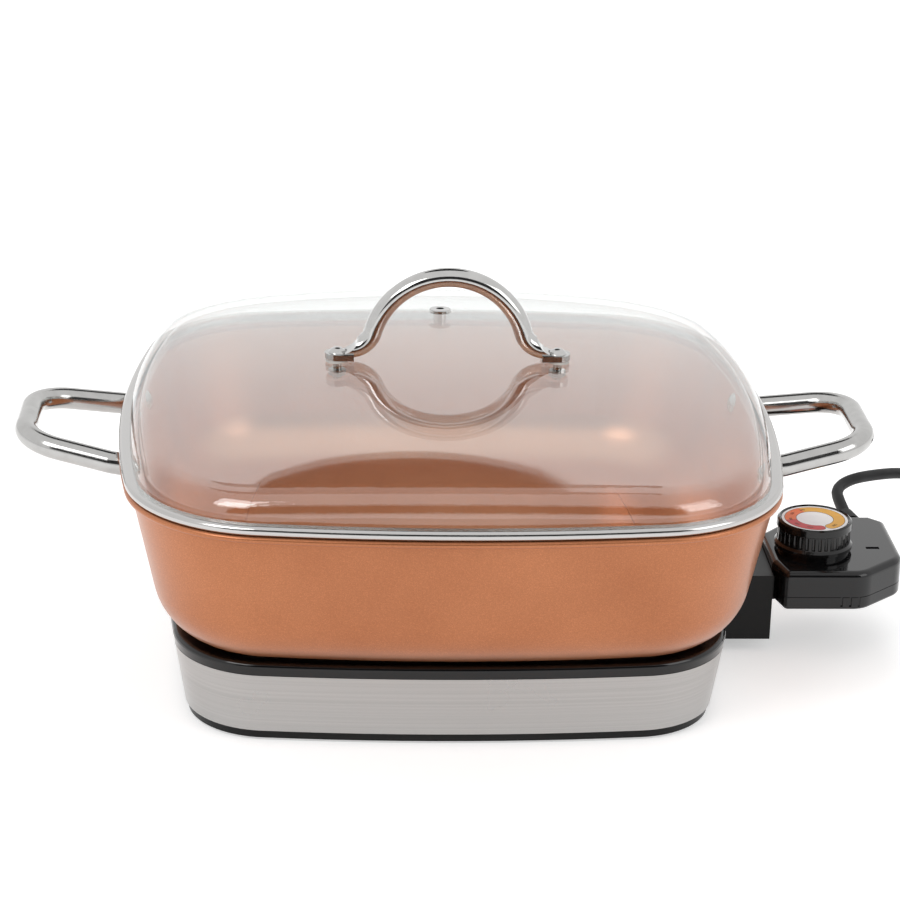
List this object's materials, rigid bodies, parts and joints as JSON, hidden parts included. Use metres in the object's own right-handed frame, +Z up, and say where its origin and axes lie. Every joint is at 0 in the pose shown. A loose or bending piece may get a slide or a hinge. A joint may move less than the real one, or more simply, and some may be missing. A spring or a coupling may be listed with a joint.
{
  "type": "electric skillet",
  "caption": "Electric skillet: a heated base carries a lift-off rectangular pan with side handles and a domed glass lid; a dial control plugs into its side.",
  "frame": {"origin": "on the table, under the middle of the skillet with its control and handles, 11 mm right of the base's middle", "axes": "+Z up, -Y towards the cook, +X towards the heat control"},
  "size_m": [0.6671, 0.4652, 0.2023],
  "materials": {
    "copper": "satin metallic copper coating",
    "polished_steel": "mirror polished",
    "brushed_steel": "brushed along its length",
    "glass": "clear, tempered",
    "gloss_black": "glossy",
    "matte_black": "fine matte",
    "knob_black": "satin",
    "dial_face": "printed colour ring",
    "rubber": "matte",
    "silicone": "matte translucent",
    "cord": "matte",
    "brass": "bright",
    "plain_steel": "plain",
    "cast_aluminium": "as cast",
    "ceramic": "unglazed"
  },
  "bodies": {
    "base": {"base_lip_ring": "gloss_black", "base_frame": "matte_black", "steel_band": "brushed_steel", "bottom_plate": "plain_steel", "rubber_feet": "rubber", "heater_plate": "cast_aluminium", "heating_element": "plain_steel", "terminal_pins": "plain_steel", "terminal_insulators": "ceramic", "heater_posts": "plain_steel", "base_screws": "plain_steel", "heat_reflector": "cast_aluminium", "socket_shroud": "matte_black"},
    "pan": {"pan_shell": "copper", "handle_rivets": "polished_steel", "left_handle": "polished_steel", "right_handle": "polished_steel"},
    "lid": {"lid_glass": "glass", "lid_rim_band": "polished_steel", "lid_handle": "polished_steel", "lid_handle_washers": "silicone", "lid_handle_screws": "polished_steel", "lid_handle_nuts": "plain_steel", "vent_eyelet": "polished_steel"},
    "control": {"control_upper_shell": "gloss_black", "control_lower_shell": "gloss_black", "contact_sleeves": "brass", "sensing_rod": "plain_steel", "contact_carrier": "matte_black", "thermostat_switch": "matte_black", "bimetal_strip": "brass", "strain_relief": "rubber", "mains_cord": "cord", "cord_coil": "cord", "cord_tail": "cord", "plug_body": "cord", "plug_blades": "brass"},
    "knob": {"control_knob": "knob_black", "dial_plate": "dial_face", "knob_shaft": "plain_steel"}
  },
  "joints": [
    {"name": "pan_lift", "type": "slide", "parent": "base", "child": "pan", "axis": [0, 0, 1], "range_m": [0, 0.12]},
    {"name": "lid_lift", "type": "slide", "parent": "pan", "child": "lid", "axis": [0, 0, 1], "range_m": [0, 0.12]},
    {"name": "control_unplug", "type": "slide", "parent": "base", "child": "control", "axis": [1, 0, 0], "range_m": [0, 0.11]},
    {"name": "knob_turn", "type": "hinge", "parent": "control", "child": "knob", "pos_m": [0.1848, 0, 0.055], "axis": [0, 0, 1], "range_deg": [-300, 0]}
  ]
}
